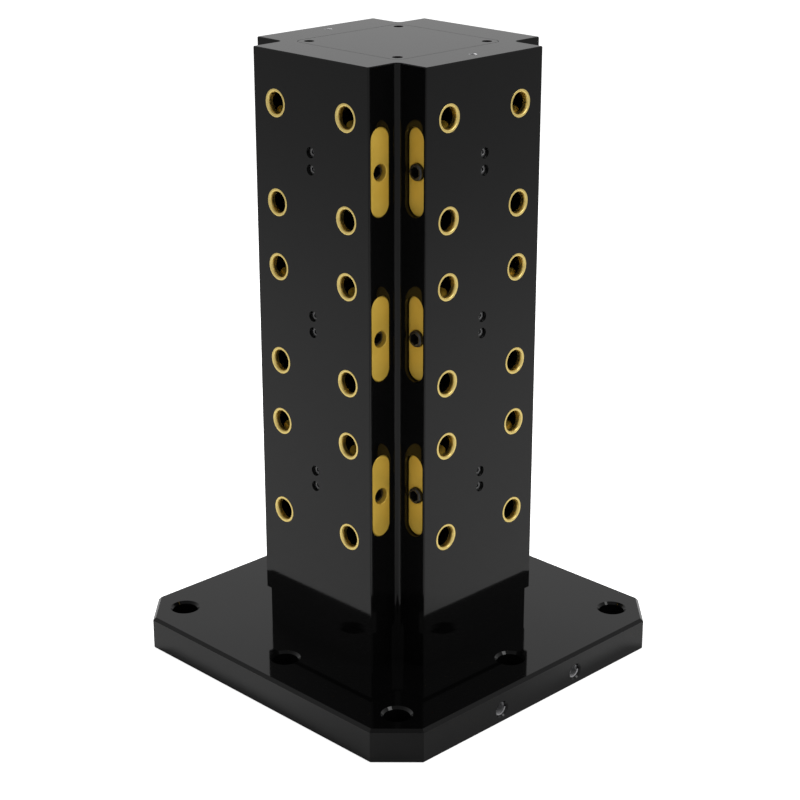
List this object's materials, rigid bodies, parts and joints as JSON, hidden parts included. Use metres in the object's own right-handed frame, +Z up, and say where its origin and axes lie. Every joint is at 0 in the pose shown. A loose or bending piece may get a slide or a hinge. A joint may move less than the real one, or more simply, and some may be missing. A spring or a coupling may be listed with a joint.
{
  "type": "cnc tombstone fixture",
  "caption": "Four-sided tombstone fixture: notched square column on a bolt-down plate, with stations of bushed receivers locked by screw-driven bars.",
  "frame": {"origin": "centre of the base plate's underside", "axes": "+Z up the column, -Y the front face, +X the right face, where the plate's side holes are"},
  "size_m": [0.4, 0.4, 0.635],
  "materials": {
    "black_anodised": "black hard anodised, glossy",
    "bronze": "turned, satin",
    "brass": "milled, satin",
    "black_steel": "black oxide",
    "bare_metal": "bare metal, ground or freshly cut"
  },
  "bodies": {
    "fixture": {"base_plate": "black_anodised", "column": "black_anodised", "top_cover": "black_anodised", "top_cover_screws": "black_steel", "foot_screws": "black_steel", "foot_dowels": "bare_metal", "bushings_front": "bronze", "keeper_screws_front": "black_steel", "bearing_blocks_front": "black_steel", "bushings_right": "bronze", "keeper_screws_right": "black_steel", "bearing_blocks_right": "black_steel", "bushings_back": "bronze", "keeper_screws_back": "black_steel", "bearing_blocks_back": "black_steel", "bushings_left": "bronze", "keeper_screws_left": "black_steel", "bearing_blocks_left": "black_steel"},
    "screw_front_lower": {"drive_screw_front_lower": "black_steel"},
    "bar_front_lower_left": {"lock_bar_front_lower_left": "brass"},
    "bar_front_lower_right": {"lock_bar_front_lower_right": "brass"},
    "screw_front_middle": {"drive_screw_front_middle": "black_steel"},
    "bar_front_middle_left": {"lock_bar_front_middle_left": "brass"},
    "bar_front_middle_right": {"lock_bar_front_middle_right": "brass"},
    "screw_front_upper": {"drive_screw_front_upper": "black_steel"},
    "bar_front_upper_left": {"lock_bar_front_upper_left": "brass"},
    "bar_front_upper_right": {"lock_bar_front_upper_right": "brass"},
    "screw_right_lower": {"drive_screw_right_lower": "black_steel"},
    "bar_right_lower_left": {"lock_bar_right_lower_left": "brass"},
    "bar_right_lower_right": {"lock_bar_right_lower_right": "brass"},
    "screw_right_middle": {"drive_screw_right_middle": "black_steel"},
    "bar_right_middle_left": {"lock_bar_right_middle_left": "brass"},
    "bar_right_middle_right": {"lock_bar_right_middle_right": "brass"},
    "screw_right_upper": {"drive_screw_right_upper": "black_steel"},
    "bar_right_upper_left": {"lock_bar_right_upper_left": "brass"},
    "bar_right_upper_right": {"lock_bar_right_upper_right": "brass"},
    "screw_back_lower": {"drive_screw_back_lower": "black_steel"},
    "bar_back_lower_left": {"lock_bar_back_lower_left": "brass"},
    "bar_back_lower_right": {"lock_bar_back_lower_right": "brass"},
    "screw_back_middle": {"drive_screw_back_middle": "black_steel"},
    "bar_back_middle_left": {"lock_bar_back_middle_left": "brass"},
    "bar_back_middle_right": {"lock_bar_back_middle_right": "brass"},
    "screw_back_upper": {"drive_screw_back_upper": "black_steel"},
    "bar_back_upper_left": {"lock_bar_back_upper_left": "brass"},
    "bar_back_upper_right": {"lock_bar_back_upper_right": "brass"},
    "screw_left_lower": {"drive_screw_left_lower": "black_steel"},
    "bar_left_lower_left": {"lock_bar_left_lower_left": "brass"},
    "bar_left_lower_right": {"lock_bar_left_lower_right": "brass"},
    "screw_left_middle": {"drive_screw_left_middle": "black_steel"},
    "bar_left_middle_left": {"lock_bar_left_middle_left": "brass"},
    "bar_left_middle_right": {"lock_bar_left_middle_right": "brass"},
    "screw_left_upper": {"drive_screw_left_upper": "black_steel"},
    "bar_left_upper_left": {"lock_bar_left_upper_left": "brass"},
    "bar_left_upper_right": {"lock_bar_left_upper_right": "brass"}
  },
  "joints": [
    {"name": "turn_front_lower", "type": "hinge", "parent": "fixture", "child": "screw_front_lower", "pos_m": [0, -0.1, 0.217], "axis": [1, 0, 0], "range_deg": [0, 720]},
    {"name": "slide_front_lower_left", "type": "slide", "parent": "fixture", "child": "bar_front_lower_left", "axis": [1, 0, 0], "range_m": [0, 0.003]},
    {"name": "slide_front_lower_right", "type": "slide", "parent": "fixture", "child": "bar_front_lower_right", "axis": [-1, 0, 0], "range_m": [0, 0.003]},
    {"name": "turn_front_middle", "type": "hinge", "parent": "fixture", "child": "screw_front_middle", "pos_m": [0, -0.1, 0.377], "axis": [1, 0, 0], "range_deg": [0, 720]},
    {"name": "slide_front_middle_left", "type": "slide", "parent": "fixture", "child": "bar_front_middle_left", "axis": [1, 0, 0], "range_m": [0, 0.003]},
    {"name": "slide_front_middle_right", "type": "slide", "parent": "fixture", "child": "bar_front_middle_right", "axis": [-1, 0, 0], "range_m": [0, 0.003]},
    {"name": "turn_front_upper", "type": "hinge", "parent": "fixture", "child": "screw_front_upper", "pos_m": [0, -0.1, 0.537], "axis": [1, 0, 0], "range_deg": [0, 720]},
    {"name": "slide_front_upper_left", "type": "slide", "parent": "fixture", "child": "bar_front_upper_left", "axis": [1, 0, 0], "range_m": [0, 0.003]},
    {"name": "slide_front_upper_right", "type": "slide", "parent": "fixture", "child": "bar_front_upper_right", "axis": [-1, 0, 0], "range_m": [0, 0.003]},
    {"name": "turn_right_lower", "type": "hinge", "parent": "fixture", "child": "screw_right_lower", "pos_m": [0.1, 0, 0.217], "axis": [0, 1, 0], "range_deg": [0, 720]},
    {"name": "slide_right_lower_left", "type": "slide", "parent": "fixture", "child": "bar_right_lower_left", "axis": [0, 1, 0], "range_m": [0, 0.003]},
    {"name": "slide_right_lower_right", "type": "slide", "parent": "fixture", "child": "bar_right_lower_right", "axis": [0, -1, 0], "range_m": [0, 0.003]},
    {"name": "turn_right_middle", "type": "hinge", "parent": "fixture", "child": "screw_right_middle", "pos_m": [0.1, 0, 0.377], "axis": [0, 1, 0], "range_deg": [0, 720]},
    {"name": "slide_right_middle_left", "type": "slide", "parent": "fixture", "child": "bar_right_middle_left", "axis": [0, 1, 0], "range_m": [0, 0.003]},
    {"name": "slide_right_middle_right", "type": "slide", "parent": "fixture", "child": "bar_right_middle_right", "axis": [0, -1, 0], "range_m": [0, 0.003]},
    {"name": "turn_right_upper", "type": "hinge", "parent": "fixture", "child": "screw_right_upper", "pos_m": [0.1, 0, 0.537], "axis": [0, 1, 0], "range_deg": [0, 720]},
    {"name": "slide_right_upper_left", "type": "slide", "parent": "fixture", "child": "bar_right_upper_left", "axis": [0, 1, 0], "range_m": [0, 0.003]},
    {"name": "slide_right_upper_right", "type": "slide", "parent": "fixture", "child": "bar_right_upper_right", "axis": [0, -1, 0], "range_m": [0, 0.003]},
    {"name": "turn_back_lower", "type": "hinge", "parent": "fixture", "child": "screw_back_lower", "pos_m": [0, 0.1, 0.217], "axis": [-1, 0, 0], "range_deg": [0, 720]},
    {"name": "slide_back_lower_left", "type": "slide", "parent": "fixture", "child": "bar_back_lower_left", "axis": [-1, 0, 0], "range_m": [0, 0.003]},
    {"name": "slide_back_lower_right", "type": "slide", "parent": "fixture", "child": "bar_back_lower_right", "axis": [1, 0, 0], "range_m": [0, 0.003]},
    {"name": "turn_back_middle", "type": "hinge", "parent": "fixture", "child": "screw_back_middle", "pos_m": [0, 0.1, 0.377], "axis": [-1, 0, 0], "range_deg": [0, 720]},
    {"name": "slide_back_middle_left", "type": "slide", "parent": "fixture", "child": "bar_back_middle_left", "axis": [-1, 0, 0], "range_m": [0, 0.003]},
    {"name": "slide_back_middle_right", "type": "slide", "parent": "fixture", "child": "bar_back_middle_right", "axis": [1, 0, 0], "range_m": [0, 0.003]},
    {"name": "turn_back_upper", "type": "hinge", "parent": "fixture", "child": "screw_back_upper", "pos_m": [0, 0.1, 0.537], "axis": [-1, 0, 0], "range_deg": [0, 720]},
    {"name": "slide_back_upper_left", "type": "slide", "parent": "fixture", "child": "bar_back_upper_left", "axis": [-1, 0, 0], "range_m": [0, 0.003]},
    {"name": "slide_back_upper_right", "type": "slide", "parent": "fixture", "child": "bar_back_upper_right", "axis": [1, 0, 0], "range_m": [0, 0.003]},
    {"name": "turn_left_lower", "type": "hinge", "parent": "fixture", "child": "screw_left_lower", "pos_m": [-0.1, 0, 0.217], "axis": [0, -1, 0], "range_deg": [0, 720]},
    {"name": "slide_left_lower_left", "type": "slide", "parent": "fixture", "child": "bar_left_lower_left", "axis": [0, -1, 0], "range_m": [0, 0.003]},
    {"name": "slide_left_lower_right", "type": "slide", "parent": "fixture", "child": "bar_left_lower_right", "axis": [0, 1, 0], "range_m": [0, 0.003]},
    {"name": "turn_left_middle", "type": "hinge", "parent": "fixture", "child": "screw_left_middle", "pos_m": [-0.1, 0, 0.377], "axis": [0, -1, 0], "range_deg": [0, 720]},
    {"name": "slide_left_middle_left", "type": "slide", "parent": "fixture", "child": "bar_left_middle_left", "axis": [0, -1, 0], "range_m": [0, 0.003]},
    {"name": "slide_left_middle_right", "type": "slide", "parent": "fixture", "child": "bar_left_middle_right", "axis": [0, 1, 0], "range_m": [0, 0.003]},
    {"name": "turn_left_upper", "type": "hinge", "parent": "fixture", "child": "screw_left_upper", "pos_m": [-0.1, 0, 0.537], "axis": [0, -1, 0], "range_deg": [0, 720]},
    {"name": "slide_left_upper_left", "type": "slide", "parent": "fixture", "child": "bar_left_upper_left", "axis": [0, -1, 0], "range_m": [0, 0.003]},
    {"name": "slide_left_upper_right", "type": "slide", "parent": "fixture", "child": "bar_left_upper_right", "axis": [0, 1, 0], "range_m": [0, 0.003]}
  ],
  "couplings": [
    {"joint": "turn_front_lower", "follows": "slide_front_lower_left", "rad_per_m": 4188.8},
    {"joint": "slide_front_lower_right", "follows": "slide_front_lower_left", "ratio": 1},
    {"joint": "turn_front_middle", "follows": "slide_front_middle_left", "rad_per_m": 4188.8},
    {"joint": "slide_front_middle_right", "follows": "slide_front_middle_left", "ratio": 1},
    {"joint": "turn_front_upper", "follows": "slide_front_upper_left", "rad_per_m": 4188.8},
    {"joint": "slide_front_upper_right", "follows": "slide_front_upper_left", "ratio": 1},
    {"joint": "turn_right_lower", "follows": "slide_right_lower_left", "rad_per_m": 4188.8},
    {"joint": "slide_right_lower_right", "follows": "slide_right_lower_left", "ratio": 1},
    {"joint": "turn_right_middle", "follows": "slide_right_middle_left", "rad_per_m": 4188.8},
    {"joint": "slide_right_middle_right", "follows": "slide_right_middle_left", "ratio": 1},
    {"joint": "turn_right_upper", "follows": "slide_right_upper_left", "rad_per_m": 4188.8},
    {"joint": "slide_right_upper_right", "follows": "slide_right_upper_left", "ratio": 1},
    {"joint": "turn_back_lower", "follows": "slide_back_lower_left", "rad_per_m": 4188.8},
    {"joint": "slide_back_lower_right", "follows": "slide_back_lower_left", "ratio": 1},
    {"joint": "turn_back_middle", "follows": "slide_back_middle_left", "rad_per_m": 4188.8},
    {"joint": "slide_back_middle_right", "follows": "slide_back_middle_left", "ratio": 1},
    {"joint": "turn_back_upper", "follows": "slide_back_upper_left", "rad_per_m": 4188.8},
    {"joint": "slide_back_upper_right", "follows": "slide_back_upper_left", "ratio": 1},
    {"joint": "turn_left_lower", "follows": "slide_left_lower_left", "rad_per_m": 4188.8},
    {"joint": "slide_left_lower_right", "follows": "slide_left_lower_left", "ratio": 1},
    {"joint": "turn_left_middle", "follows": "slide_left_middle_left", "rad_per_m": 4188.8},
    {"joint": "slide_left_middle_right", "follows": "slide_left_middle_left", "ratio": 1},
    {"joint": "turn_left_upper", "follows": "slide_left_upper_left", "rad_per_m": 4188.8},
    {"joint": "slide_left_upper_right", "follows": "slide_left_upper_left", "ratio": 1}
  ]
}
